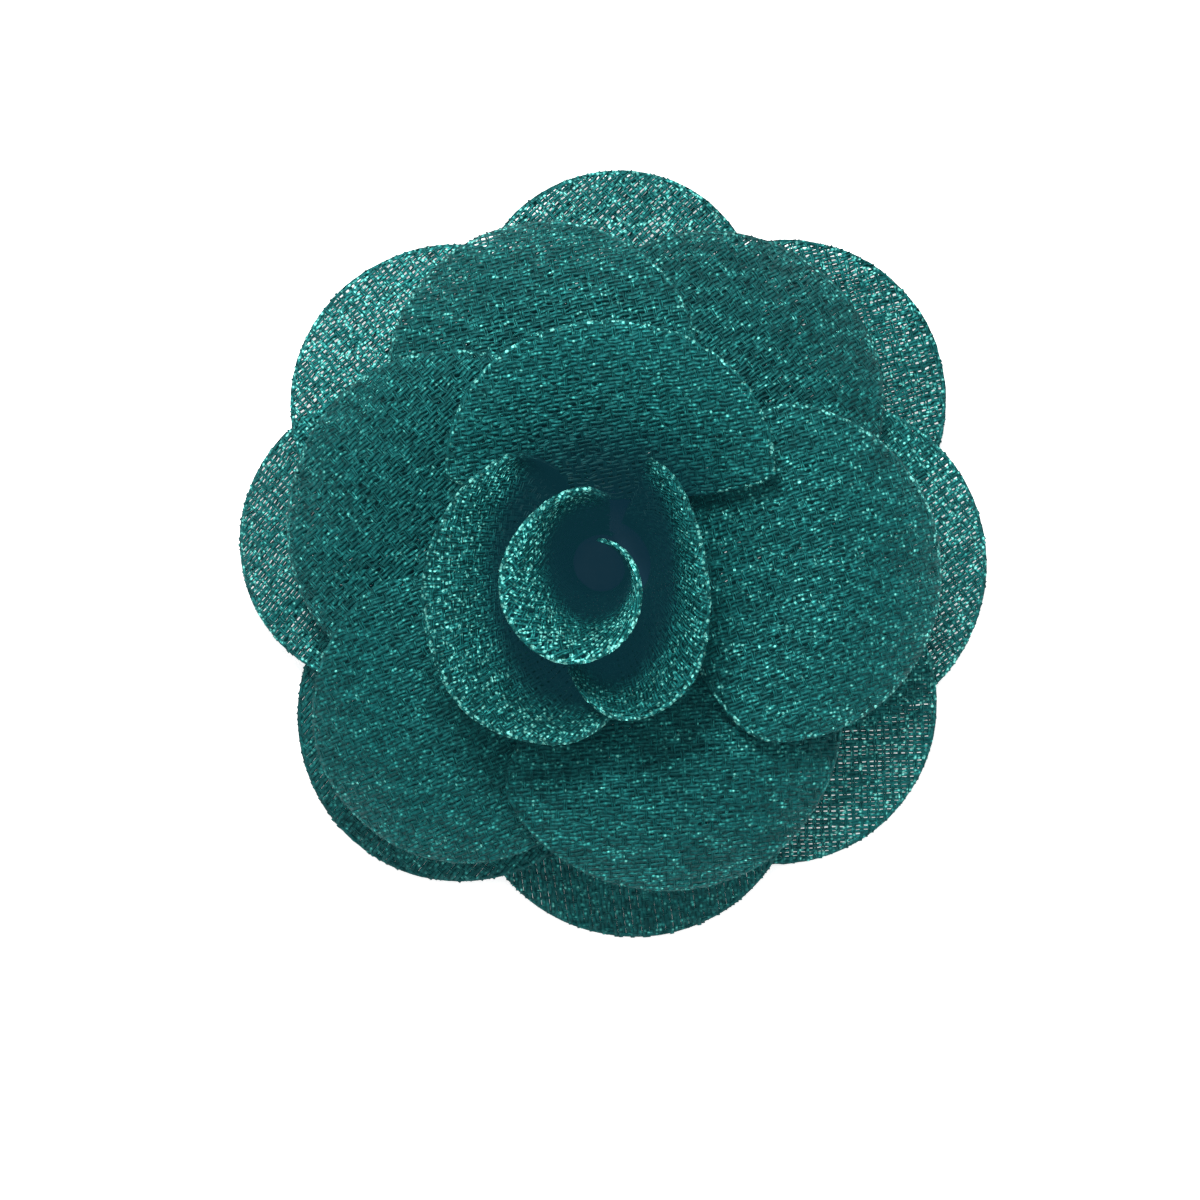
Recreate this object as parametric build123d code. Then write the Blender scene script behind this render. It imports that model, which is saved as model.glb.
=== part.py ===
from build123d import *

import os
from collections import namedtuple

import numpy as np

# Flower lapel pin: cut discs of stiffened cloth in rings round a rolled bud, with a bar pin behind.
# Millimetres. The flower lies on its back: +Z is out of its face, +Y is the top of its face, and
# the origin is on the surface it lies on, under the middle of its outline.

# Driving dimensions
WALL = 1.0  # thickness of a petal
HEART = (-1.2, -1.0)  # where the petals are gathered, seen from the front
BUD_TOP = (-3.9, -3.1)  # the bud leans: the middle of its mouth, seen from the front
LEAN_HEIGHT = 25.4  # height of the bud's mouth, where the lean ends
LEAN_BEND = 1.7  # 1 for a straight lean, more for one that starts higher up
ROOT_HEIGHT = 3.7  # height at which the curled petals start, just above the pad
SIDE_REACH = 60.0  # degrees from a petal's middle line, past which its side climbs no more

PAD_RADIUS = 12.0
PAD_THICK = 0.6
PAD_TOP = 3.0
BAR_LENGTH = 20.0  # over its two blocks
BAR_RADIUS = 0.4
BAR_HEIGHT = 0.75
BLOCK = (3.2, 3.4)  # length and width of the block at each end of the bar
BLOCK_FOOT = 0.2  # clearance under the blocks

# Facets: steps round a petal and from its middle out, and along and up a curled petal
FACETS = {"outer": (24, 5), "middle": (28, 6), "inner": (32, 7)}
CURL_FACETS = {"cup_petal_left": (20, 9), "cup_petal_right": (20, 9), "rolled_bud": (34, 9)}

# Height of the cloth's middle over the distance from the heart, for each ring of petals
Rise = namedtuple("Rise", "out up")
RINGS = {
    "outer": [
        Rise(6, 5.1), Rise(11, 5.3), Rise(20, 5.8), Rise(27, 5.0), Rise(32, 3.6), Rise(36, 2.2),
        Rise(40, 0.9),
    ],
    "middle": [
        Rise(5, 7.6), Rise(10, 10.1), Rise(15, 12.3), Rise(20, 13.3), Rise(25, 13.0), Rise(30, 11.4),
        Rise(34, 9.3), Rise(37, 7.4),
    ],
    "inner": [
        Rise(5.5, 11.0), Rise(8, 12.9), Rise(11, 15.1), Rise(14, 17.0), Rise(17, 18.6),
        Rise(20, 19.8), Rise(23, 20.3), Rise(27, 19.7),
    ],
}

# One row for each flat petal. x and y are the middle of its disc, front and back its reach from
# there away from the heart and towards it, left and right its reach to either side, seen from the
# heart. square is 2 for a round front, more for a squarer one. lift raises the whole petal, climb
# is the rise for each degree towards its left, and tip the rise of the rim at its front.
# The inner petal lies past the heart, and its front is towards the top of the flower's face.
Petal = namedtuple("Petal", "name ring x y front back left right square lift climb tip")
PETALS = [
    Petal("outer_petal_1", "outer", 0.7, 24.2, 14.3, 14.0, 14.7, 14.0, 2.0, 0.0, 0.045, 0.35),
    Petal("outer_petal_2", "outer", 17.0, 15.3, 16.4, 14.0, 16.0, 16.2, 2.0, 0.0, 0.045, 0.8),
    Petal("outer_petal_3", "outer", 21.3, -1.0, 16.1, 12.6, 16.4, 16.6, 2.0, 0.0, 0.045, -0.15),
    Petal("outer_petal_4", "outer", 16.5, -15.2, 15.8, 13.0, 15.9, 15.9, 2.0, 0.0, 0.045, -0.08),
    Petal("outer_petal_5", "outer", 2.2, -22.0, 16.4, 11.6, 16.3, 16.8, 2.0, 0.0, 0.045, -0.4),
    Petal("outer_petal_6", "outer", -14.9, -16.2, 16.9, 10.6, 16.2, 16.8, 2.0, 0.0, 0.045, -0.5),
    Petal("outer_petal_7", "outer", -23.0, 1.3, 14.6, 12.2, 14.6, 14.8, 2.0, 0.0, 0.045, -0.85),
    Petal("outer_petal_8", "outer", -16.5, 14.8, 16.0, 12.2, 15.8, 16.6, 2.0, 0.0, 0.045, -0.34),
    Petal("middle_petal_1", "middle", 10.0, 15.4, 16.8, 13.0, 17.0, 16.9, 2.0, -2.3, 0.0, -0.8),
    Petal("middle_petal_2", "middle", -6.8, 17.8, 15.4, 12.9, 15.8, 15.4, 2.0, 0.0, -0.036, -0.8),
    Petal("middle_petal_3", "middle", -15.4, 3.2, 17.1, 8.2, 17.0, 16.8, 2.1, 0.0, -0.036, -0.8),
    Petal("middle_petal_4", "middle", -14.1, -14.5, 16.5, 11.4, 15.6, 14.9, 2.1, 0.0, -0.036, -0.8),
    Petal("middle_petal_5", "middle", 5.8, -17.0, 16.6, 10.3, 17.2, 17.8, 1.9, 0.0, -0.036, -0.8),
    Petal("middle_petal_6", "middle", 16.2, -1.9, 16.4, 10.3, 16.7, 16.7, 2.0, 2.1, 0.0, -0.8),
    Petal("inner_petal", "inner", -0.8, 8.0, 14.9, 2.5, 15.8, 16.6, 2.1, 0.0, 0.0, 0.0),
]
BACK_CURVE = {"outer": 1.6, "middle": 1.6, "inner": 2.0}  # 2 for a round back half, 1 for a point
INNER_FACING = np.pi / 2
RIM_DROOP = {"outer": 0.5, "middle": 0.6, "inner": 0.4}  # fall of the rim all round
RIM_WAVE = {"outer": 0.3, "middle": 0.5, "inner": 0.3}  # height of the rim's soft waves
WAVES_AROUND = 5  # half the waves that a whole rim would have
CORNER_DROP = 3.0  # the inner petal's two ends sink on to the ring below
CORNER_TURN = (45, 90)  # degrees from its middle line over which they sink
CORNER_OUT = (9, 17)  # and distance from the heart

# Section of a curled petal, from its root to its rim: share of the way out to its throat, of the
# flare beyond that, and of the way up, at each share of its length
Section = namedtuple("Section", "along throat flare up")
CURL = [
    Section(0, 0, 0, 0), Section(0.3, 0, 0, 0.33), Section(0.5, 0.3, 0, 0.58),
    Section(0.68, 0.8, 0.02, 0.78), Section(0.78, 0.97, 0.24, 0.88), Section(0.88, 1, 0.56, 0.955),
    Section(0.95, 1, 0.82, 0.99), Section(1, 1, 1, 0.985),
]

# Rim of a curled petal: its distance and height at each turn round the bud, in degrees, the distance
# of its root, and how far it flares out past its throat
Rim = namedtuple("Rim", "turn out up root flare")
CURLS = {
    "cup_petal_left": [
        Rim(105, 10.8, 19.4, 5.0, 1.0), Rim(115, 13.4, 21.2, 5.2, 1.3), Rim(135, 14.5, 23.0, 5.2, 3.3),
        Rim(160, 14.8, 23.8, 5.2, 5.0), Rim(185, 15.4, 24.0, 5.2, 6.4), Rim(205, 16.0, 23.8, 5.2, 6.3),
        Rim(230, 17.1, 23.2, 5.3, 5.6), Rim(250, 16.8, 22.4, 5.7, 3.6), Rim(268, 16.0, 21.0, 6.0, 2.5),
        Rim(283, 13.7, 18.0, 6.0, 1.5),
    ],
    "cup_petal_right": [
        Rim(-104, 9.0, 18.4, 4.4, 1.0), Rim(-91, 11.6, 20.7, 4.5, 1.5), Rim(-76, 14.0, 22.6, 4.6, 2.4),
        Rim(-45, 15.0, 23.8, 4.9, 4.5), Rim(-15, 13.4, 24.4, 5.2, 4.2), Rim(8, 12.8, 24.4, 5.3, 3.5),
        Rim(30, 13.0, 23.8, 5.2, 2.8), Rim(48, 13.7, 22.7, 5.1, 2.4), Rim(62, 13.4, 20.8, 5.0, 1.5),
    ],
    "rolled_bud": [
        Rim(69, 9.0, 23.8, 3.3, 1.8), Rim(87, 9.3, 24.7, 3.3, 1.8), Rim(102, 8.8, 25.2, 3.2, 1.9),
        Rim(122, 8.0, 25.5, 3.1, 2.3), Rim(146, 7.5, 25.7, 3.0, 3.2), Rim(184, 7.4, 25.7, 2.9, 4.4),
        Rim(224, 7.5, 25.6, 2.8, 4.6), Rim(263, 7.8, 25.5, 2.8, 4.1), Rim(303, 7.4, 25.4, 2.8, 2.9),
        Rim(347, 6.6, 25.5, 2.8, 1.7), Rim(393, 5.9, 25.6, 2.7, 1.2), Rim(424, 4.9, 25.0, 2.6, 0.8),
    ],
}


def ease(x):
    """From 0 to 1 with soft ends."""
    x = np.clip(x, 0, 1)
    return x * x * (3 - 2 * x)


def curve(table, start, value, x):
    """A smooth curve through one column of a table over another."""
    xs = np.array([getattr(row, start) for row in table], float)
    ys = np.array([getattr(row, value) for row in table], float)
    slopes = np.gradient(ys, xs)
    x = np.clip(x, xs[0], xs[-1])
    k = np.clip(np.searchsorted(xs, x, side="right") - 1, 0, len(xs) - 2)
    step = xs[k + 1] - xs[k]
    s = (x - xs[k]) / step
    near = (1 + 2 * s) * (1 - s) ** 2 * ys[k] + s * (1 - s) ** 2 * step * slopes[k]
    far = s * s * (3 - 2 * s) * ys[k + 1] + s * s * (s - 1) * step * slopes[k + 1]
    return near + far


def petal_points(petal, out, turn):
    """Points of a flat petal's cloth: out from 0, its middle, to 1, its rim, at a turn in radians."""
    dx, dy = petal.x - HEART[0], petal.y - HEART[1]
    facing = INNER_FACING if petal.ring == "inner" else np.arctan2(dy, dx)
    c, s = np.cos(turn), np.sin(turn)
    reach = np.where(c >= 0, petal.front, petal.back)
    side = np.where(s >= 0, petal.left, petal.right)
    power = np.where(c >= 0, petal.square, BACK_CURVE[petal.ring])
    rim = (np.abs(c / reach) ** power + np.abs(s / side) ** power) ** (-1 / power)
    ahead, across = out * rim * c, out * rim * s
    x = petal.x + ahead * np.cos(facing) - across * np.sin(facing)
    y = petal.y + ahead * np.sin(facing) + across * np.cos(facing)
    away = np.hypot(x - HEART[0], y - HEART[1])
    bearing = np.arctan2(y - HEART[1], x - HEART[0]) - facing
    bearing = np.degrees((bearing + np.pi) % (2 * np.pi) - np.pi)
    z = curve(RINGS[petal.ring], "out", "up", away) + petal.lift
    z = z + petal.climb * np.clip(bearing, -SIDE_REACH, SIDE_REACH)
    front = np.maximum(c, 0)
    z = z + out**4 * (petal.tip * front**2 - RIM_DROOP[petal.ring])
    wave = np.sin(2 * WAVES_AROUND * turn + petal.x) * front**2
    z = z + RIM_WAVE[petal.ring] * out**3 * wave
    if petal.ring == "inner":
        sunk = ease((np.abs(bearing) - CORNER_TURN[0]) / (CORNER_TURN[1] - CORNER_TURN[0]))
        sunk = sunk * ease((away - CORNER_OUT[0]) / (CORNER_OUT[1] - CORNER_OUT[0]))
        z = z - CORNER_DROP * sunk
    return np.stack([x, y, z], -1)


def curl_points(rims, along, turn):
    """Points of a curled petal's cloth: along from 0, its root, to 1, its rim, at a turn in degrees."""
    flare = curve(rims, "turn", "flare", turn)
    throat = curve(rims, "turn", "out", turn) - flare
    rim_up = curve(rims, "turn", "up", turn)
    root = curve(rims, "turn", "root", turn)
    away = root + (throat - root) * curve(CURL, "along", "throat", along)
    away = away + flare * curve(CURL, "along", "flare", along)
    z = ROOT_HEIGHT + (rim_up - ROOT_HEIGHT) * curve(CURL, "along", "up", along)
    lean = ((z - ROOT_HEIGHT) / (LEAN_HEIGHT - ROOT_HEIGHT)) ** LEAN_BEND
    x = HEART[0] + (BUD_TOP[0] - HEART[0]) * lean + away * np.cos(np.radians(turn))
    y = HEART[1] + (BUD_TOP[1] - HEART[1]) * lean + away * np.sin(np.radians(turn))
    return np.stack([x, y, z], -1)


def petal_sheet(petal):
    """Points and triangles of a flat petal's middle surface."""
    around, rings = FACETS[petal.ring]
    turns = np.arange(around) * 2 * np.pi / around
    points = [petal_points(petal, np.zeros(1), np.zeros(1))]
    for ring in range(1, rings + 1):
        points.append(petal_points(petal, np.full(around, ring / rings), turns))
    triangles = [(0, 1 + k, 1 + (k + 1) % around) for k in range(around)]
    for ring in range(rings - 1):
        first = 1 + ring * around
        for k in range(around):
            a, b = first + k, first + (k + 1) % around
            triangles += [(a, a + around, b + around), (a, b + around, b)]
    return np.concatenate(points), triangles


def curl_sheet(name):
    """Points and triangles of a curled petal's middle surface."""
    rims = CURLS[name]
    round_steps, up_steps = CURL_FACETS[name]
    turns = np.linspace(rims[0].turn, rims[-1].turn, round_steps + 1)
    rows = []
    for up in range(up_steps + 1):
        rows.append(curl_points(rims, np.full(len(turns), up / up_steps), turns))
    triangles = []
    for up in range(up_steps):
        for k in range(round_steps):
            a = up * (round_steps + 1) + k
            b = a + round_steps + 1
            triangles += [(a, b + 1, b), (a, a + 1, b + 1)]
    return np.concatenate(rows), triangles


def thickened(points, triangles):
    """Both faces of a sheet, half a wall to either side, and the strip round its edge."""
    triangles = np.array(triangles)
    corners = points[triangles]
    facing = np.cross(corners[:, 1] - corners[:, 0], corners[:, 2] - corners[:, 0])
    normals = np.zeros_like(points)
    for column in range(3):
        np.add.at(normals, triangles[:, column], facing)
    normals /= np.linalg.norm(normals, axis=1, keepdims=True)
    count = len(points)
    both = np.concatenate([points + normals * WALL / 2, points - normals * WALL / 2])
    closed = [tuple(t) for t in triangles]
    closed += [(c + count, b + count, a + count) for a, b, c in triangles]
    used = {(a, b) for t in triangles for a, b in zip(t, np.roll(t, -1))}
    for a, b in sorted(used):
        if (b, a) not in used:
            closed += [(b, a, a + count), (b, a + count, b + count)]
    return both, closed


def faceted(points, triangles):
    """A solid with flat triangular faces."""
    corners = [Vector(*map(float, point)) for point in points]
    faces = []
    for triangle in triangles:
        edge = Wire.make_polygon([corners[k] for k in triangle], close=True)
        faces.append(Face(edge))
    return Solid(Shell(faces))


def pin_back():
    """The hidden pad, and the bar pin that two blocks hold under it."""
    x, y = HEART
    foot = PAD_TOP - PAD_THICK
    pad = Pos(x, y, foot) * Cylinder(
        PAD_RADIUS, PAD_THICK, align=(Align.CENTER, Align.CENTER, Align.MIN)
    )
    between = BAR_LENGTH - BLOCK[0]
    piece = pad + Pos(x, y, BAR_HEIGHT) * Rot(0, 90, 0) * Cylinder(BAR_RADIUS, between)
    for side in (-1, 1):
        piece += Pos(x + side * between / 2, y, BLOCK_FOOT) * Box(
            *BLOCK, foot - BLOCK_FOOT + PAD_THICK / 2, align=(Align.CENTER, Align.CENTER, Align.MIN)
        )
    return piece


parts = {}
for petal in PETALS:
    parts[petal.name] = faceted(*thickened(*petal_sheet(petal)))
for name in CURLS:
    parts[name] = faceted(*thickened(*curl_sheet(name)))
parts["pin_back"] = pin_back()

os.makedirs("parts", exist_ok=True)
for name, shape in parts.items():
    export_step(shape, f"parts/{name}.step")
box = Compound(children=list(parts.values())).bounding_box()
print("from", box.min, "to", box.max)
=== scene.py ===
import math
from collections import namedtuple

import bpy
import numpy as np
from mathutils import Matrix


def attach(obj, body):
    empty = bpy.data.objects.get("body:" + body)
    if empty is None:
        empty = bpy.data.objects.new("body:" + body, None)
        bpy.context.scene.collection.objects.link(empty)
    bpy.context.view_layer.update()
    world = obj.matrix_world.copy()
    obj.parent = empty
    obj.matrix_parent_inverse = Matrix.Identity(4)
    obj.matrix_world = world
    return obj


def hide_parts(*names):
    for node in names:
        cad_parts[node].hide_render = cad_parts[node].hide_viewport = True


# Flower lapel pin of woven glitter cloth. Shapes are in millimetres, as the frame's source has them,
# and MM turns them into metres where a mesh is made.
MM = 0.001

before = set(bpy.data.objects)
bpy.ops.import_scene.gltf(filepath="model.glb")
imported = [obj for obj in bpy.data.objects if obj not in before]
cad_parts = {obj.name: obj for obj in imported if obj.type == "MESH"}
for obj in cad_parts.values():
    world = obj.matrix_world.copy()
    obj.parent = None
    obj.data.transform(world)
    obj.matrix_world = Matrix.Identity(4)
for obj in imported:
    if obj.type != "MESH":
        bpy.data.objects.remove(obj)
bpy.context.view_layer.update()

# Shape of the petals
HEART = (-1.2, -1.0)  # where the petals are gathered, seen from the front
BUD_TOP = (-3.9, -3.1)  # the middle of the bud's mouth, seen from the front
LEAN_HEIGHT = 25.4
LEAN_BEND = 1.7
ROOT_HEIGHT = 3.7
SIDE_REACH = 60.0

Rise = namedtuple("Rise", "out up")
RINGS = {
    "outer": [
        Rise(6, 5.1), Rise(11, 5.3), Rise(20, 5.8), Rise(27, 5.0), Rise(32, 3.6), Rise(36, 2.2),
        Rise(40, 0.9),
    ],
    "middle": [
        Rise(5, 7.6), Rise(10, 10.1), Rise(15, 12.3), Rise(20, 13.3), Rise(25, 13.0), Rise(30, 11.4),
        Rise(34, 9.3), Rise(37, 7.4),
    ],
    "inner": [
        Rise(5.5, 11.0), Rise(8, 12.9), Rise(11, 15.1), Rise(14, 17.0), Rise(17, 18.6),
        Rise(20, 19.8), Rise(23, 20.3), Rise(27, 19.7),
    ],
}

# x and y are the middle of a petal's disc, front and back its reach away from the heart and towards
# it, left and right its reach to either side
Petal = namedtuple("Petal", "name ring x y front back left right square lift climb tip")
PETALS = [
    Petal("outer_petal_1", "outer", 0.7, 24.2, 14.3, 14.0, 14.7, 14.0, 2.0, 0.0, 0.045, 0.35),
    Petal("outer_petal_2", "outer", 17.0, 15.3, 16.4, 14.0, 16.0, 16.2, 2.0, 0.0, 0.045, 0.8),
    Petal("outer_petal_3", "outer", 21.3, -1.0, 16.1, 12.6, 16.4, 16.6, 2.0, 0.0, 0.045, -0.15),
    Petal("outer_petal_4", "outer", 16.5, -15.2, 15.8, 13.0, 15.9, 15.9, 2.0, 0.0, 0.045, -0.08),
    Petal("outer_petal_5", "outer", 2.2, -22.0, 16.4, 11.6, 16.3, 16.8, 2.0, 0.0, 0.045, -0.4),
    Petal("outer_petal_6", "outer", -14.9, -16.2, 16.9, 10.6, 16.2, 16.8, 2.0, 0.0, 0.045, -0.5),
    Petal("outer_petal_7", "outer", -23.0, 1.3, 14.6, 12.2, 14.6, 14.8, 2.0, 0.0, 0.045, -0.85),
    Petal("outer_petal_8", "outer", -16.5, 14.8, 16.0, 12.2, 15.8, 16.6, 2.0, 0.0, 0.045, -0.34),
    Petal("middle_petal_1", "middle", 10.0, 15.4, 16.8, 13.0, 17.0, 16.9, 2.0, -2.3, 0.0, -0.8),
    Petal("middle_petal_2", "middle", -6.8, 17.8, 15.4, 12.9, 15.8, 15.4, 2.0, 0.0, -0.036, -0.8),
    Petal("middle_petal_3", "middle", -15.4, 3.2, 17.1, 8.2, 17.0, 16.8, 2.1, 0.0, -0.036, -0.8),
    Petal("middle_petal_4", "middle", -14.1, -14.5, 16.5, 11.4, 15.6, 14.9, 2.1, 0.0, -0.036, -0.8),
    Petal("middle_petal_5", "middle", 5.8, -17.0, 16.6, 10.3, 17.2, 17.8, 1.9, 0.0, -0.036, -0.8),
    Petal("middle_petal_6", "middle", 16.2, -1.9, 16.4, 10.3, 16.7, 16.7, 2.0, 2.1, 0.0, -0.8),
    Petal("inner_petal", "inner", -0.8, 8.0, 14.9, 2.5, 15.8, 16.6, 2.1, 0.0, 0.0, 0.0),
]
BACK_CURVE = {"outer": 1.6, "middle": 1.6, "inner": 2.0}
INNER_FACING = np.pi / 2
RIM_DROOP = {"outer": 0.5, "middle": 0.6, "inner": 0.4}
RIM_WAVE = {"outer": 0.3, "middle": 0.5, "inner": 0.3}
WAVES_AROUND = 5
CORNER_DROP = 3.0
CORNER_TURN = (45, 90)
CORNER_OUT = (9, 17)

Section = namedtuple("Section", "along throat flare up")
CURL = [
    Section(0, 0, 0, 0), Section(0.3, 0, 0, 0.33), Section(0.5, 0.3, 0, 0.58),
    Section(0.68, 0.8, 0.02, 0.78), Section(0.78, 0.97, 0.24, 0.88), Section(0.88, 1, 0.56, 0.955),
    Section(0.95, 1, 0.82, 0.99), Section(1, 1, 1, 0.985),
]

Rim = namedtuple("Rim", "turn out up root flare")
CURLS = {
    "cup_petal_left": [
        Rim(105, 10.8, 19.4, 5.0, 1.0), Rim(115, 13.4, 21.2, 5.2, 1.3), Rim(135, 14.5, 23.0, 5.2, 3.3),
        Rim(160, 14.8, 23.8, 5.2, 5.0), Rim(185, 15.4, 24.0, 5.2, 6.4), Rim(205, 16.0, 23.8, 5.2, 6.3),
        Rim(230, 17.1, 23.2, 5.3, 5.6), Rim(250, 16.8, 22.4, 5.7, 3.6), Rim(268, 16.0, 21.0, 6.0, 2.5),
        Rim(283, 13.7, 18.0, 6.0, 1.5),
    ],
    "cup_petal_right": [
        Rim(-104, 9.0, 18.4, 4.4, 1.0), Rim(-91, 11.6, 20.7, 4.5, 1.5), Rim(-76, 14.0, 22.6, 4.6, 2.4),
        Rim(-45, 15.0, 23.8, 4.9, 4.5), Rim(-15, 13.4, 24.4, 5.2, 4.2), Rim(8, 12.8, 24.4, 5.3, 3.5),
        Rim(30, 13.0, 23.8, 5.2, 2.8), Rim(48, 13.7, 22.7, 5.1, 2.4), Rim(62, 13.4, 20.8, 5.0, 1.5),
    ],
    "rolled_bud": [
        Rim(69, 9.0, 23.8, 3.3, 1.8), Rim(87, 9.3, 24.7, 3.3, 1.8), Rim(102, 8.8, 25.2, 3.2, 1.9),
        Rim(122, 8.0, 25.5, 3.1, 2.3), Rim(146, 7.5, 25.7, 3.0, 3.2), Rim(184, 7.4, 25.7, 2.9, 4.4),
        Rim(224, 7.5, 25.6, 2.8, 4.6), Rim(263, 7.8, 25.5, 2.8, 4.1), Rim(303, 7.4, 25.4, 2.8, 2.9),
        Rim(347, 6.6, 25.5, 2.8, 1.7), Rim(393, 5.9, 25.6, 2.7, 1.2), Rim(424, 4.9, 25.0, 2.6, 0.8),
    ],
}

# The weave: a thread is two flat plies with crinkled ridges, and passes over and under in turn
PAD_FOOT = 2.35  # height over which the pin back is its felt pad
PITCH = 0.8  # between neighbouring threads
OVER = 0.035  # rise of a thread over its neighbour, and dip under the next
RIDGE = 0.02  # height of a ply's ridge over its edges
RIDGE_SCATTER = (0.5, 1.2)  # lowest and highest ridge, as a share of that
RIDGE_SWAY = 0.7  # most that the ridge leaves the middle, as a share of half the width
CRINKLE = 0.012  # scatter of a thread's height
WANDER = 0.04  # scatter of a ply to either side
TWIST = 0.1  # scatter of a thread's tilt, in radians
UNEVEN = 0.22  # most that a thread is wider or narrower than its mean
DULLEST = 0.6  # least glint of a thread, against its brightest
RIM_GLINT = 0.5  # glint of the rim's thread, before its scatter
UNDER_GLINT = 0.6  # share of its glint that a thread keeps where it dips
CREPE_LENGTH = (1.6, 4.0)  # between the waves of a wavering thread
WAVES = 8  # waves that are added up over a cloth
RIPPLE = 2.5  # between the soft ripples of painted glint and painted shade over the cloth
RIPPLE_SLOPE = 0.18  # fall of a ripple to the right, seen from the front
RIPPLE_BEND = 1.3  # how far the ripples waver
RIPPLE_BENDS = (4.0, 9.0)  # and the lengths of those waves
RIPPLE_SHADE = 0.25  # share of the ripples in the colour as painted shade, against their share in the glints
RIM_WIDTH = 0.46  # width of the thread that runs round the cut rim
RIM_STEP = 0.5
RIM_INSET = 0.1
PAINTED_GATHER_SHADE = 0.14  # painted shade: brightness of the cloth down in the gathers, against its rim
SHALLOW = 0.25  # share of the painted glow down there that the cloth out in the light has
DEEP_ALONG = (0.64, 0.82)  # shares along a curled petal over which both change
DEEP_OUT = (7.0, 17.0)  # and distances of the inner petal's cloth from the heart
END_FADE = 5.0  # length over which the ends of a curled petal fade into the painted shade of the gathers
DIM_ENDS = {  # and how far in from its start and its end that begins
    "cup_petal_left": (2.0, -3.0),
    "cup_petal_right": (-2.0, -3.0),
    "rolled_bud": (-1.0, -4.0),
}
FRAY = 0.25  # most that a cut end stands out of the rim
FINE = 0.12  # step of the search for a thread's ends
CLEAR_END = 0.3  # share of the pitch that an end keeps from the next crossing
PAST_FLAT_RIM = 1.05  # how far that search goes, against a flat cloth's reach
PAST_CURLED_RIM = 1.02  # and against a curled one's
TURN_STEPS = 300  # steps round a curled petal that its sector is measured in
WALL_STEPS = 60  # and steps along it
CELL = 0.25  # side of the cells that a cut's area is counted in
SEED = 4127

# One row for each petal's cloth: bias is the turn of its threads in degrees, warp and weft are the
# widths of its threads each way, tone is how bright it is, in part painted light and shade for how each
# petal lies in the light, spark how bright its painted glints are, rim the glint of its rim, crepe how
# far its threads waver, ripple how strongly its painted ripples show, and loose how uneven its plies
# are
Cloth = namedtuple("Cloth", "name bias warp weft tone spark rim crepe ripple loose")
CLOTHS = [
    Cloth("outer_petal_1", 43, 0.74, 0.45, 0.87, 1.2, 0.8, 0.05, 0.25, 0.8),
    Cloth("outer_petal_2", 18, 0.7, 0.49, 0.9, 1.05, 0.8, 0.05, 0.25, 0.8),
    Cloth("outer_petal_3", 35, 0.71, 0.48, 1.0, 1.1, 0.8, 0.03, 0.25, 0.4),
    Cloth("outer_petal_4", 2, 0.76, 0.43, 0.98, 1.05, 0.6, 0.03, 0.25, 0.4),
    Cloth("outer_petal_5", 98, 0.88, 0.32, 0.86, 0.7, 0.2, 0.0, 0.25, 0.1),
    Cloth("outer_petal_6", 50, 0.88, 0.32, 0.82, 0.65, 0.2, 0.0, 0.25, 0.1),
    Cloth("outer_petal_7", 48, 0.78, 0.42, 0.92, 1.0, 0.8, 0.05, 0.25, 0.6),
    Cloth("outer_petal_8", 40, 0.71, 0.48, 1.05, 1.15, 0.9, 0.05, 0.25, 0.8),
    Cloth("middle_petal_1", 34, 0.8, 0.4, 0.71, 0.64, 0.9, 0.06, 0.6, 0.5),
    Cloth("middle_petal_2", 14, 0.8, 0.4, 0.77, 0.7, 1.3, 0.06, 0.4, 0.5),
    Cloth("middle_petal_3", 40, 0.8, 0.4, 0.78, 0.64, 1.2, 0.06, 0.35, 0.5),
    Cloth("middle_petal_4", 23, 0.8, 0.4, 0.8, 0.63, 0.7, 0.06, 0.3, 0.5),
    Cloth("middle_petal_5", 4, 0.8, 0.4, 0.79, 0.63, 0.7, 0.06, 0.4, 0.5),
    Cloth("middle_petal_6", 18, 0.8, 0.4, 0.82, 0.74, 1.5, 0.06, 0.35, 0.5),
    Cloth("inner_petal", 10, 0.8, 0.4, 0.88, 0.66, 1.7, 0.06, 0.15, 0.5),
    Cloth("cup_petal_left", 5, 0.62, 0.5, 1.08, 1.5, 1.4, 0.08, 0.1, 1.0),
    Cloth("cup_petal_right", 12, 0.62, 0.5, 1.1, 1.3, 1.5, 0.08, 0.1, 1.0),
    Cloth("rolled_bud", 56, 0.62, 0.5, 1.3, 1.8, 1.6, 0.08, 0.0, 1.0),
]


def ease(x):
    """From 0 to 1 with soft ends."""
    x = np.clip(x, 0, 1)
    return x * x * (3 - 2 * x)


def curve(table, start, value, x):
    """A smooth curve through one column of a table over another."""
    xs = np.array([getattr(row, start) for row in table], float)
    ys = np.array([getattr(row, value) for row in table], float)
    slopes = np.gradient(ys, xs)
    x = np.clip(x, xs[0], xs[-1])
    k = np.clip(np.searchsorted(xs, x, side="right") - 1, 0, len(xs) - 2)
    step = xs[k + 1] - xs[k]
    s = (x - xs[k]) / step
    near = (1 + 2 * s) * (1 - s) ** 2 * ys[k] + s * (1 - s) ** 2 * step * slopes[k]
    far = s * s * (3 - 2 * s) * ys[k + 1] + s * s * (s - 1) * step * slopes[k + 1]
    return near + far


def facing_of(petal):
    """Direction of a flat petal's front, in radians."""
    if petal.ring == "inner":
        return INNER_FACING
    return math.atan2(petal.y - HEART[1], petal.x - HEART[0])


def rim_of(petal, turn):
    """Reach of a flat petal from its middle to its rim."""
    c, s = np.cos(turn), np.sin(turn)
    reach = np.where(c >= 0, petal.front, petal.back)
    side = np.where(s >= 0, petal.left, petal.right)
    power = np.where(c >= 0, petal.square, BACK_CURVE[petal.ring])
    return (np.abs(c / reach) ** power + np.abs(s / side) ** power) ** (-1 / power)


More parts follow.
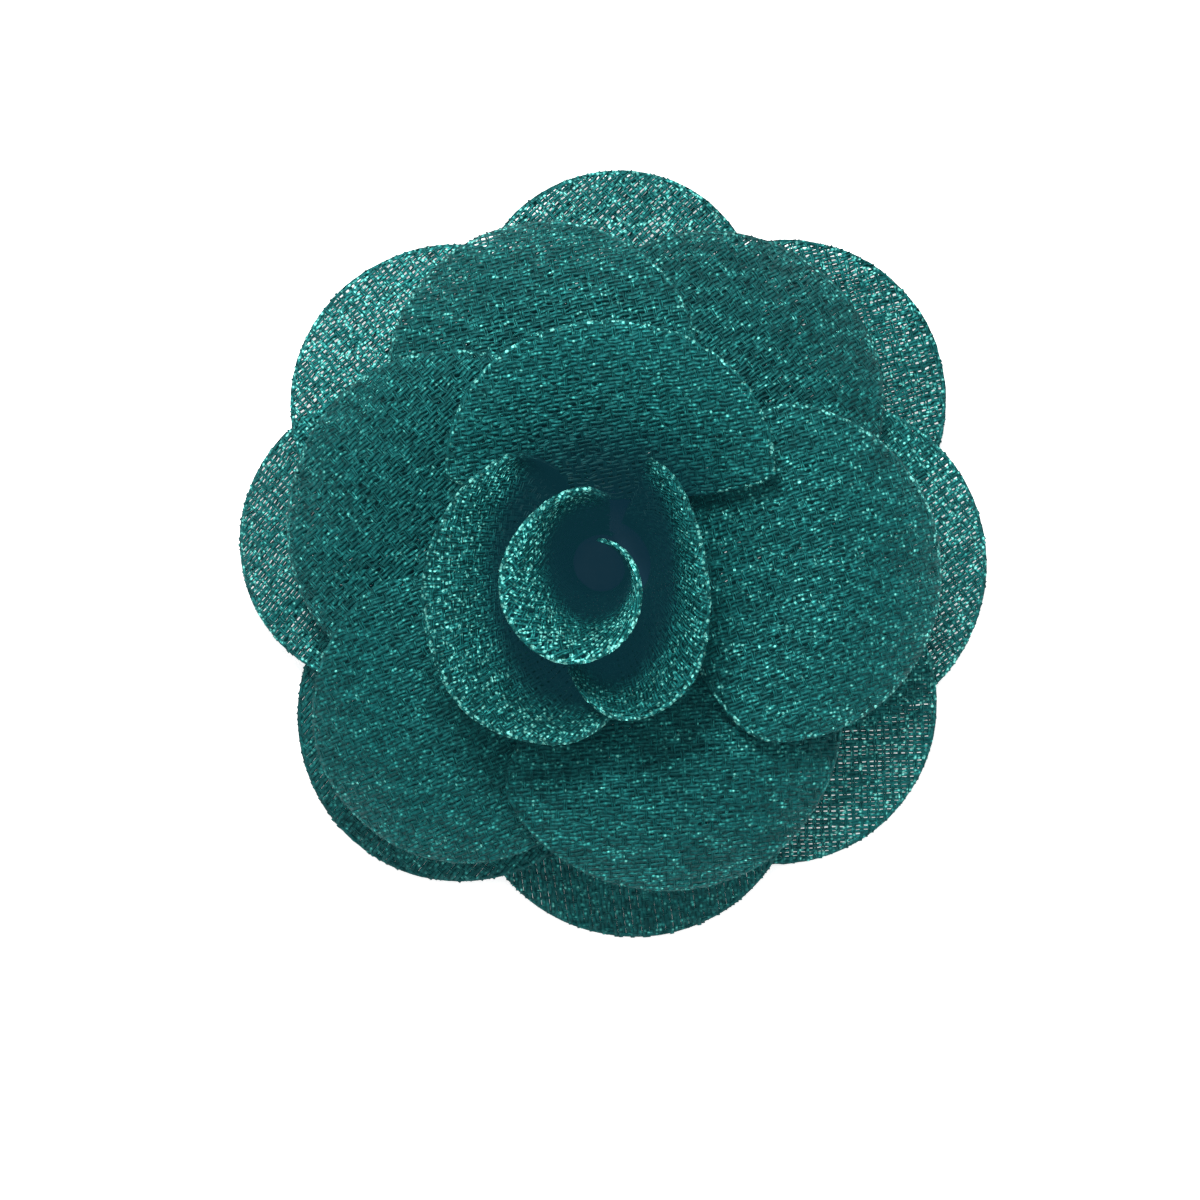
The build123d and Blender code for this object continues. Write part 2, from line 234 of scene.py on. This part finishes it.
def petal_points(petal, out, turn):
    """Points of a flat petal's cloth: out from 0, its middle, to 1, its rim, at a turn in radians."""
    facing = facing_of(petal)
    rim = rim_of(petal, turn)
    ahead, across = out * rim * np.cos(turn), out * rim * np.sin(turn)
    x = petal.x + ahead * np.cos(facing) - across * np.sin(facing)
    y = petal.y + ahead * np.sin(facing) + across * np.cos(facing)
    away = np.hypot(x - HEART[0], y - HEART[1])
    bearing = np.arctan2(y - HEART[1], x - HEART[0]) - facing
    bearing = np.degrees((bearing + np.pi) % (2 * np.pi) - np.pi)
    z = curve(RINGS[petal.ring], "out", "up", away) + petal.lift
    z = z + petal.climb * np.clip(bearing, -SIDE_REACH, SIDE_REACH)
    front = np.maximum(np.cos(turn), 0)
    z = z + out**4 * (petal.tip * front**2 - RIM_DROOP[petal.ring])
    wave = np.sin(2 * WAVES_AROUND * turn + petal.x) * front**2
    z = z + RIM_WAVE[petal.ring] * out**3 * wave
    if petal.ring == "inner":
        sunk = ease((np.abs(bearing) - CORNER_TURN[0]) / (CORNER_TURN[1] - CORNER_TURN[0]))
        sunk = sunk * ease((away - CORNER_OUT[0]) / (CORNER_OUT[1] - CORNER_OUT[0]))
        z = z - CORNER_DROP * sunk
    return np.stack([x, y, z], -1)


def curl_points(rims, along, turn):
    """Points of a curled petal's cloth: along from 0, its root, to 1, its rim, at a turn in degrees."""
    flare = curve(rims, "turn", "flare", turn)
    throat = curve(rims, "turn", "out", turn) - flare
    rim_up = curve(rims, "turn", "up", turn)
    root = curve(rims, "turn", "root", turn)
    away = root + (throat - root) * curve(CURL, "along", "throat", along)
    away = away + flare * curve(CURL, "along", "flare", along)
    z = ROOT_HEIGHT + (rim_up - ROOT_HEIGHT) * curve(CURL, "along", "up", along)
    lean = ((z - ROOT_HEIGHT) / (LEAN_HEIGHT - ROOT_HEIGHT)) ** LEAN_BEND
    x = HEART[0] + (BUD_TOP[0] - HEART[0]) * lean + away * np.cos(np.radians(turn))
    y = HEART[1] + (BUD_TOP[1] - HEART[1]) * lean + away * np.sin(np.radians(turn))
    return np.stack([x, y, z], -1)


def unit(vectors):
    """Vectors of length 1."""
    return vectors / np.maximum(np.linalg.norm(vectors, axis=-1, keepdims=True), 1e-9)


def between(x, limits):
    """From 0 to 1 between two limits of x, with soft ends."""
    return ease((x - limits[0]) / (limits[1] - limits[0]))


class FlatCloth:
    """A disc of cloth, laid over a flat petal: u and v are millimetres on the cloth."""

    STEP = 0.05  # distance over which the cloth's slope is taken

    def __init__(self, petal, bias):
        self.petal = petal
        self.bias = math.radians(bias) - facing_of(petal)
        self.reach = max(petal.front, petal.back, petal.left, petal.right) * PAST_FLAT_RIM
        self.size = (petal.left + petal.right, petal.front + petal.back)

    def polar(self, u, v):
        r = np.hypot(u, v)
        turn = np.arctan2(v, u) + self.bias
        turn = (turn + np.pi) % (2 * np.pi) - np.pi
        return r / rim_of(self.petal, turn), turn

    def margin(self, u, v):
        """Distance in from the rim, less than 0 outside the cloth."""
        out, turn = self.polar(u, v)
        return (1 - out) * rim_of(self.petal, turn)

    def rim_line(self):
        """Places all round the rim, on the cloth."""
        turn = np.linspace(0, 2 * np.pi, int(2 * np.pi * self.reach / RIM_STEP))
        r = rim_of(self.petal, turn) - RIM_INSET
        return r * np.cos(turn - self.bias), r * np.sin(turn - self.bias)

    def light(self, u, v):
        """Mask of painted shade and glow: from 0 where the inner petal lies down in the gathers to 1
        out in the light.
        """
        if self.petal.ring != "inner":
            return np.ones(len(u))
        place = self.points(u, v)
        away = np.hypot(place[:, 0] - HEART[0], place[:, 1] - HEART[1])
        return between(away, DEEP_OUT)

    def points(self, u, v):
        return petal_points(self.petal, *self.polar(u, v))

    def normals(self, u, v):
        step = self.STEP
        along_u = self.points(u + step, v) - self.points(u - step, v)
        along_v = self.points(u, v + step) - self.points(u, v - step)
        return unit(np.cross(along_u, along_v))


class CurledCloth:
    """A sector of cloth, rolled into a curled petal: u and v are millimetres on the flat sector."""

    EDGE = 0.02  # share along the petal over which its slope is taken

    def __init__(self, name, bias):
        self.rims = CURLS[name]
        self.dim = DIM_ENDS[name]
        self.bias = math.radians(bias)
        self.turns = np.linspace(self.rims[0].turn, self.rims[-1].turn, TURN_STEPS)
        rim = curl_points(self.rims, np.ones(TURN_STEPS), self.turns)
        root = curl_points(self.rims, np.zeros(TURN_STEPS), self.turns)
        steps = np.linalg.norm(np.diff(rim, axis=0), axis=1)
        self.around = np.concatenate([[0], np.cumsum(steps)])
        root_length = np.linalg.norm(np.diff(root, axis=0), axis=1).sum()
        shares = np.linspace(0, 1, WALL_STEPS)
        walls = [
            curl_points(self.rims, np.full(TURN_STEPS, share), self.turns) for share in shares
        ]
        lengths = np.linalg.norm(np.diff(np.array(walls), axis=0), axis=2)
        self.heights = lengths.sum(0)
        self.spread = np.concatenate([[0], np.cumsum(lengths.mean(1))]) / self.heights.mean()
        self.shares = shares
        width = self.around[-1]
        self.apex = self.heights.mean() / (1 - root_length / width)
        self.reach = self.apex * PAST_CURLED_RIM
        self.size = (width, self.heights.mean())

    def where(self, u, v):
        """Distance round the rim, distance in from it, and the turn and share along that they mean."""
        from_apex = np.hypot(u, v)
        angle = np.arctan2(v, u) - self.bias
        angle = (angle + np.pi) % (2 * np.pi) - np.pi
        around = angle * self.apex + self.around[-1] / 2
        down = self.apex - from_apex
        turn = np.interp(around, self.around, self.turns)
        height = np.interp(around, self.around, self.heights)
        share = 1 - down / height
        along = np.interp(share, self.spread, self.shares) + np.maximum(share - 1, 0)
        return around, down, height, turn, along

    def margin(self, u, v):
        around, down, height, turn, along = self.where(u, v)
        ends = np.minimum(around, self.around[-1] - around) * (1 - down / self.apex)
        return np.minimum(np.minimum(down, height - down), ends)

    def rim_line(self):
        """Places along the rim, on the cloth."""
        width = self.around[-1]
        angle = (np.arange(0, width, RIM_STEP) - width / 2) / self.apex + self.bias
        r = self.apex - RIM_INSET
        return r * np.cos(angle), r * np.sin(angle)

    def light(self, u, v):
        """Mask of painted shade and glow: from 0 down in the gathers to 1 out on the lip."""
        around, down, height, turn, along = self.where(u, v)
        ends = np.minimum(around - self.dim[0], self.around[-1] - self.dim[1] - around)
        return between(along, DEEP_ALONG) * between(ends, (0, END_FADE))

    def surface(self, along, turn):
        inner = np.clip(along, 0, 1)
        points = curl_points(self.rims, inner, turn)
        below = curl_points(self.rims, np.maximum(inner - self.EDGE, 0), turn)
        return points + (along - inner)[..., None] * (points - below) / self.EDGE

    def points(self, u, v):
        around, down, height, turn, along = self.where(u, v)
        return self.surface(along, turn)

    def normals(self, u, v):
        around, down, height, turn, along = self.where(u, v)
        along = np.clip(along, self.EDGE, 1 - self.EDGE)
        turn = np.clip(turn, self.turns[0] + 1, self.turns[-1] - 1)
        up = self.surface(along + self.EDGE / 2, turn) - self.surface(along - self.EDGE / 2, turn)
        side = self.surface(along, turn + 1) - self.surface(along, turn - 1)
        return unit(np.cross(side, up))


def runs_inside(margin):
    """First and last index of each stretch of a line that lies on the cloth."""
    inside = np.concatenate([[False], margin > 0, [False]])
    edges = np.flatnonzero(np.diff(inside.astype(int)))
    return [(a, b - 1) for a, b in zip(edges[::2], edges[1::2])]


def waves(u, v, lengths, rng):
    """Soft waves over a cloth, about 0, with lengths between two limits."""
    total = np.zeros(len(u))
    for length, way, phase in zip(
        rng.uniform(*lengths, WAVES), rng.uniform(0, np.pi, WAVES), rng.uniform(0, 2 * np.pi, WAVES)
    ):
        total += np.sin((u * np.cos(way) + v * np.sin(way)) * 2 * np.pi / length + phase)
    return total / math.sqrt(WAVES / 2)


def lay_plies(cloth, row, rng):
    """Nodes of every ply and then of the rim's: place on the cloth, 1 where it passes over and -1
    where it passes under, width, and the number of its ply."""
    count = int(cloth.reach / PITCH)
    fine = np.arange(-cloth.reach, cloth.reach, FINE)
    wander = WANDER * row.loose
    rows = []
    for direction, width in enumerate((row.warp / 2, row.weft / 2)):
        for line in range(-count, count + 1):
            for ply in (-1, 1):
                place = line * PITCH + ply * width / 2 + rng.normal(0, wander / 2)
                flat = np.full(len(fine), place)
                margin = cloth.margin(fine, flat) if direction == 0 else cloth.margin(flat, fine)
                for first, last in runs_inside(margin):
                    start = fine[first] - rng.uniform(0, FRAY)
                    end = fine[last] + rng.uniform(0, FRAY)
                    if end - start < PITCH:
                        continue
                    first_met = math.ceil(start / PITCH + CLEAR_END)
                    last_met = math.floor(end / PITCH - CLEAR_END)
                    met = np.arange(first_met, last_met + 1)
                    along = np.concatenate([[start], met * PITCH, [end]])
                    side = np.concatenate([[0], (-1.0) ** (met + line + direction), [0]])
                    across = place + rng.normal(0, wander, len(along))
                    u, v = (along, across) if direction == 0 else (across, along)
                    number = np.full(len(along), len(rows))
                    rows.append((u, v, side, np.full(len(along), width), number))
    u, v = cloth.rim_line()
    rows.append((u, v, np.zeros(len(u)), np.full(len(u), RIM_WIDTH), np.full(len(u), len(rows))))
    return [np.concatenate(column) for column in zip(*rows)]


def ply_faces(same_next):
    """Quads along the three sides of every ply, and triangles over its ends."""
    a = np.flatnonzero(same_next) * 3
    quads = []
    for k in range(3):
        m = (k + 1) % 3
        quads.append(np.stack([a + k, a + m, a + m + 3, a + k + 3], 1))
    starts = np.flatnonzero(np.concatenate([[True], ~same_next])) * 3
    ends = np.flatnonzero(np.concatenate([~same_next, [True]])) * 3
    caps = np.concatenate([
        np.stack([starts + 2, starts + 1, starts], 1), np.stack([ends, ends + 1, ends + 2], 1)
    ])
    return np.concatenate(quads), caps


def fill_mesh(name, vertices, quads, caps):
    """A smooth mesh of quads and triangles."""
    mesh = bpy.data.meshes.new(name)
    mesh.vertices.add(len(vertices))
    mesh.vertices.foreach_set("co", vertices.ravel())
    loops = np.concatenate([quads.ravel(), caps.ravel()])
    mesh.loops.add(len(loops))
    mesh.loops.foreach_set("vertex_index", loops)
    sizes = np.concatenate([np.full(len(quads), 4), np.full(len(caps), 3)])
    mesh.polygons.add(len(sizes))
    mesh.polygons.foreach_set("loop_start", np.concatenate([[0], np.cumsum(sizes)[:-1]]))
    mesh.polygons.foreach_set("use_smooth", np.ones(len(sizes), bool))
    mesh.update(calc_edges=True)
    return mesh


def add_glitter(mesh, row, over, on_rim, light, painted_ripple, rng):
    """The glint, the tone with its painted shade, and the painted glow of every node of the plies, as
    attributes of the mesh.
    """
    sparks = rng.uniform(DULLEST, 1, (len(over), 3)) * row.spark
    sparks = sparks * (UNDER_GLINT + (1 - UNDER_GLINT) * (over + 1) / 2)[:, None]
    rim = row.rim * (RIM_GLINT + sparks)
    # The glints are painted highlights, brightest on the rim's thread and the ripple crests, and dimmed
    # as painted shade down in the gathers
    glints = np.where(on_rim[:, None], rim, sparks * (1 + painted_ripple)[:, None]) * light[:, None]
    # Painted shade: the cloth darkens down in the gathers, and lightens and darkens along the painted
    # ripples
    tones = row.tone * (PAINTED_GATHER_SHADE + (1 - PAINTED_GATHER_SHADE) * light) * (1 + RIPPLE_SHADE * painted_ripple)
    # Painted glow, strongest down in the gathers
    painted_glows = 1 - (1 - SHALLOW) * light
    painted = {"glint": glints.ravel(), "tone": np.repeat(tones, 3), "painted_glow": np.repeat(painted_glows, 3)}
    for label, value in painted.items():
        layer = mesh.attributes.new(label, "FLOAT", "POINT")
        layer.data.foreach_set("value", value.astype(np.float32))


def woven_mesh(row, cloth, rng):
    """A mesh of all the plies of one petal, each flat below and with a crinkled ridge above."""
    u, v, over, width, number = lay_plies(cloth, row, rng)
    bend = RIPPLE_BEND * waves(u, v, RIPPLE_BENDS, rng)
    on_rim = number == number[-1]
    crepe = np.where(on_rim, 0, row.crepe * np.clip(cloth.margin(u, v), 0, 1))
    u, v = u + crepe * waves(u, v, CREPE_LENGTH, rng), v + crepe * waves(u, v, CREPE_LENGTH, rng)
    centre = cloth.points(u, v)
    normal = cloth.normals(u, v)
    centre = centre + normal * (over * OVER + rng.normal(0, CRINKLE, len(u)))[:, None]
    same_next = number[1:] == number[:-1]
    step = np.zeros_like(centre)
    step[:-1][same_next] += unit(centre[1:] - centre[:-1])[same_next]
    step[1:][same_next] += unit(centre[1:] - centre[:-1])[same_next]
    ahead = unit(step)
    side = unit(np.cross(ahead, normal))
    top = np.cross(side, ahead)
    tilt = rng.normal(0, TWIST * row.loose, len(u))
    turn_c, turn_s = np.cos(tilt)[:, None], np.sin(tilt)[:, None]
    side, top = side * turn_c + top * turn_s, top * turn_c - side * turn_s
    uneven = UNEVEN * row.loose
    half = width[:, None] * rng.uniform(1 - uneven, 1 + uneven, (len(u), 1)) / 2
    sway = rng.uniform(-RIDGE_SWAY, RIDGE_SWAY, (len(u), 1))
    ridge = RIDGE * rng.uniform(*RIDGE_SCATTER, (len(u), 1))
    corners = np.stack([
        centre - side * half - top * RIDGE / 2,
        centre + side * half * sway + top * (ridge - RIDGE / 2),
        centre + side * half - top * RIDGE / 2,
    ], 1)
    mesh = fill_mesh(row.name + "_cloth", corners.reshape(-1, 3) * MM, *ply_faces(same_next))
    # Painted ripples: soft bands of painted glint and painted shade across the cloth
    down = (centre[:, 1] + RIPPLE_SLOPE * centre[:, 0]) * 2 * np.pi / RIPPLE
    painted_ripple = row.ripple * np.sin(down + bend)
    add_glitter(mesh, row, over, on_rim, cloth.light(u, v), painted_ripple, rng)
    return mesh


def cut_size(cloth):
    """Width, length and area of a petal's flat cut: a domed one's is as large as its surface."""
    steps = np.arange(-cloth.reach, cloth.reach, CELL)
    u, v = np.meshgrid(steps, steps)
    here = cloth.margin(u.ravel(), v.ravel()) > 0
    u, v = u.ravel()[here], v.ravel()[here]
    side = cloth.points(u + CELL / 2, v) - cloth.points(u - CELL / 2, v)
    up = cloth.points(u, v + CELL / 2) - cloth.points(u, v - CELL / 2)
    surface = np.linalg.norm(np.cross(side, up), axis=1).sum()
    flat = len(u) * CELL * CELL
    area = max(flat, surface)
    grown = math.sqrt(area / flat)
    return cloth.size[0] * grown, cloth.size[1] * grown, area


def node(tree, kind, values=None, **settings):
    """A shader node with some of its inputs and settings given."""
    made = tree.nodes.new(kind)
    for name, value in settings.items():
        setattr(made, name, value)
    for name, value in (values or {}).items():
        made.inputs[name].default_value = value
    return made


def new_material(name):
    """An empty node material, its tree and its surface shader."""
    material = bpy.data.materials.new(name)
    material.use_nodes = True
    tree = material.node_tree
    tree.nodes.clear()
    output = tree.nodes.new("ShaderNodeOutputMaterial")
    shader = tree.nodes.new("ShaderNodeBsdfPrincipled")
    tree.links.new(shader.outputs["BSDF"], output.inputs["Surface"])
    return material, tree, shader


# Materials
GLINT_RAMP = [  # colour of the threads over their glint
    (0.0, (0.003, 0.072, 0.072)), (0.4, (0.011, 0.145, 0.138)), (0.8, (0.05, 0.36, 0.325)),
    (1.0, (0.19, 0.62, 0.55)),
]
SPECK_SCALE = 2500.0  # specks of glitter to a metre
SPECK_EDGE = {"From Min": 0.62, "From Max": 0.15}  # distances over which a speck brightens
SPECK_CHANCE = {"To Min": 0.25, "To Max": 1.0}  # dullest and brightest speck
SPECK_LIFT = 1.6  # glint that a speck adds, against the thread's
THREAD_GLINT = 0.1  # glint of the thread between its specks
GRAIN = {"To Min": 0.65, "To Max": 1.35}  # darkest and palest grain of the thread's colour
CLOTH_PAINTED_GLOW = (0.003, 0.026, 0.036)  # painted glow of the cloth, strongest down in the gathers
FELT_PAINTED_GLOW = (0.003, 0.025, 0.041)  # and painted glow of the felt pad
THREAD_METAL = 0.4
THREAD_ROUGHNESS = 0.55
LOW_SHINE = 0.1  # specular level of the threads and of the pin back
FELT = (0.002, 0.01, 0.02)
STEEL = ((0.5, 0.5, 0.48), (0.68, 0.68, 0.66))  # its darkest and palest grain
STEEL_GRAIN = 900.0  # grains to a metre
STEEL_ROUGHNESS = {"To Min": 0.28, "To Max": 0.42}


def glitter_material():
    """Dark teal metallic thread, with paler glints."""
    material, tree, shader = new_material("glitter_thread")
    link = tree.links.new
    glint = node(tree, "ShaderNodeAttribute", attribute_name="glint")
    ramp = node(tree, "ShaderNodeValToRGB")
    stops = ramp.color_ramp.elements
    for old, (place, colour) in zip((stops[0], stops[1]), (GLINT_RAMP[0], GLINT_RAMP[-1])):
        old.position, old.color = place, (*colour, 1)
    for place, colour in GLINT_RAMP[1:-1]:
        stops.new(place).color = (*colour, 1)
    tone = node(tree, "ShaderNodeAttribute", attribute_name="tone")
    grain = node(tree, "ShaderNodeMapRange", GRAIN)
    grained = node(tree, "ShaderNodeMath", operation="MULTIPLY")
    toned = node(tree, "ShaderNodeVectorMath", operation="SCALE")
    place = node(tree, "ShaderNodeTexCoord")
    specks = node(tree, "ShaderNodeTexVoronoi", {"Scale": SPECK_SCALE})
    near = node(tree, "ShaderNodeMapRange", SPECK_EDGE, interpolation_type="SMOOTHSTEP")
    parts = node(tree, "ShaderNodeSeparateColor")
    chance = node(tree, "ShaderNodeMapRange", SPECK_CHANCE)
    speck = node(tree, "ShaderNodeMath", operation="MULTIPLY")
    lifted = node(tree, "ShaderNodeMath", {1: SPECK_LIFT, 2: THREAD_GLINT}, operation="MULTIPLY_ADD")
    speckled = node(tree, "ShaderNodeMath", operation="MULTIPLY")
    link(place.outputs["Object"], specks.inputs["Vector"])
    link(specks.outputs["Distance"], near.inputs["Value"])
    link(specks.outputs["Color"], parts.inputs["Color"])
    link(parts.outputs["Red"], chance.inputs["Value"])
    link(near.outputs["Result"], speck.inputs[0])
    link(chance.outputs["Result"], speck.inputs[1])
    link(speck.outputs["Value"], lifted.inputs[0])
    link(glint.outputs["Fac"], speckled.inputs[0])
    link(lifted.outputs["Value"], speckled.inputs[1])
    link(speckled.outputs["Value"], ramp.inputs["Fac"])
    link(ramp.outputs["Color"], toned.inputs[0])
    link(parts.outputs["Green"], grain.inputs["Value"])
    link(tone.outputs["Fac"], grained.inputs[0])
    link(grain.outputs["Result"], grained.inputs[1])
    link(grained.outputs["Value"], toned.inputs["Scale"])
    link(toned.outputs["Vector"], shader.inputs["Base Color"])
    # Painted glow: the cloth glows faintly, most down in the gathers
    painted_glow = node(tree, "ShaderNodeAttribute", attribute_name="painted_glow")
    link(painted_glow.outputs["Fac"], shader.inputs["Emission Strength"])
    shader.inputs["Emission Color"].default_value = (*CLOTH_PAINTED_GLOW, 1)
    shader.inputs["Metallic"].default_value = THREAD_METAL
    shader.inputs["Roughness"].default_value = THREAD_ROUGHNESS
    shader.inputs["Specular IOR Level"].default_value = LOW_SHINE
    return material


def pin_material():
    """The pin back: a dark felt pad over nickel-plated steel, faintly brushed."""
    material, tree, shader = new_material("felt_and_nickel")
    link = tree.links.new
    place = node(tree, "ShaderNodeTexCoord")
    grain = node(tree, "ShaderNodeTexNoise", {"Scale": STEEL_GRAIN, "Detail": 4.0})
    tone = node(tree, "ShaderNodeMapRange", STEEL_ROUGHNESS)
    colours = {"Color1": (*STEEL[0], 1), "Color2": (*STEEL[1], 1)}
    colour = node(tree, "ShaderNodeMixRGB", colours)
    link(place.outputs["Object"], grain.inputs["Vector"])
    link(grain.outputs["Fac"], tone.inputs["Value"])
    link(tone.outputs["Result"], shader.inputs["Roughness"])
    link(grain.outputs["Fac"], colour.inputs["Fac"])
    height = node(tree, "ShaderNodeSeparateXYZ")
    felt = node(tree, "ShaderNodeMath", {1: PAD_FOOT * MM}, operation="GREATER_THAN")
    steel = node(tree, "ShaderNodeMath", {0: 1.0}, operation="SUBTRACT")
    covered = node(tree, "ShaderNodeMixRGB", {"Color2": (*FELT, 1)})
    link(place.outputs["Object"], height.inputs["Vector"])
    link(height.outputs["Z"], felt.inputs[0])
    link(felt.outputs["Value"], steel.inputs[1])
    link(felt.outputs["Value"], covered.inputs["Fac"])
    link(colour.outputs["Color"], covered.inputs["Color1"])
    link(covered.outputs["Color"], shader.inputs["Base Color"])
    link(steel.outputs["Value"], shader.inputs["Metallic"])
    # Painted glow on the felt pad
    link(felt.outputs["Value"], shader.inputs["Emission Strength"])
    shader.inputs["Emission Color"].default_value = (*FELT_PAINTED_GLOW, 1)
    shader.inputs["Specular IOR Level"].default_value = LOW_SHINE
    return material


def add_petals(material):
    """Every petal as woven cloth in its solid's place."""
    petals = {petal.name: petal for petal in PETALS}
    for row_number, row in enumerate(CLOTHS):
        if row.name in petals:
            cloth = FlatCloth(petals[row.name], row.bias)
        else:
            cloth = CurledCloth(row.name, row.bias)
        rng = np.random.default_rng(SEED + row_number)
        mesh = woven_mesh(row, cloth, rng)
        mesh.materials.append(material)
        piece = bpy.data.objects.new(row.name + "_cloth", mesh)
        bpy.context.scene.collection.objects.link(piece)
        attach(piece, "root")
        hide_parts(row.name)
        width, length, area = cut_size(cloth)


# Camera: straight above the flower's face
CAMERA_HEIGHT = 1000.0
CAMERA_OVER = (-1.404, -4.614)
FRAME_WIDTH = 120.36  # width of the picture at the height below
FRAME_HEIGHT = 4.0
SENSOR = 36.0
CLIP = (0.05, 20.0)

# Stage: places and sizes in metres, powers in watts
Light = namedtuple("Light", "name place size power shadow")
LIGHTS = [
    Light("key", (-0.1, 0.45, 0.7), 0.25, 10, True),
    Light("lift", (0.0, 0.0, 0.8), 0.8, 1, False),
]
SKY = 0.62  # strength of the sky's white
FLOOR_SIZE = 6.0
FLOOR_TONE = 0.9
FLOOR_ROUGHNESS = 0.9
FLOOR_GLOW = 0.6


def add_camera():
    """The camera at the photograph's angle."""
    data = bpy.data.cameras.new("camera")
    data.sensor_width = SENSOR
    data.lens = SENSOR * (CAMERA_HEIGHT - FRAME_HEIGHT) / FRAME_WIDTH
    data.clip_start, data.clip_end = CLIP
    camera = bpy.data.objects.new("camera", data)
    camera.location = (CAMERA_OVER[0] * MM, CAMERA_OVER[1] * MM, CAMERA_HEIGHT * MM)
    bpy.context.scene.collection.objects.link(camera)
    bpy.context.scene.camera = camera


def add_light(row):
    """A soft square light that faces the flower."""
    data = bpy.data.lights.new(row.name, "AREA")
    data.size = row.size
    data.energy = row.power
    data.use_shadow = row.shadow
    light = bpy.data.objects.new(row.name, data)
    light.location = row.place
    light.rotation_mode = "QUATERNION"
    light.rotation_quaternion = light.location.to_track_quat("Z", "Y")
    bpy.context.scene.collection.objects.link(light)


def add_stage():
    """A pale glowing table top, soft lights and an even sky."""
    bpy.ops.mesh.primitive_plane_add(size=FLOOR_SIZE, location=(0, 0, 0))
    floor = bpy.context.object
    floor.name = "floor"
    material, tree, shader = new_material("pale_floor")
    shader.inputs["Base Color"].default_value = (FLOOR_TONE, FLOOR_TONE, FLOOR_TONE, 1)
    shader.inputs["Roughness"].default_value = FLOOR_ROUGHNESS
    shader.inputs["Emission Color"].default_value = (1, 1, 1, 1)
    shader.inputs["Emission Strength"].default_value = FLOOR_GLOW
    floor.data.materials.append(material)
    for row in LIGHTS:
        add_light(row)
    world = bpy.data.worlds.new("sky")
    world.use_nodes = True
    background = world.node_tree.nodes["Background"]
    background.inputs["Color"].default_value = (1, 1, 1, 1)
    background.inputs["Strength"].default_value = SKY
    bpy.context.scene.world = world
    bpy.context.scene.view_settings.view_transform = "Standard"


add_camera()
add_petals(glitter_material())
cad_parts["pin_back"].data.materials.clear()
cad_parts["pin_back"].data.materials.append(pin_material())
add_stage()
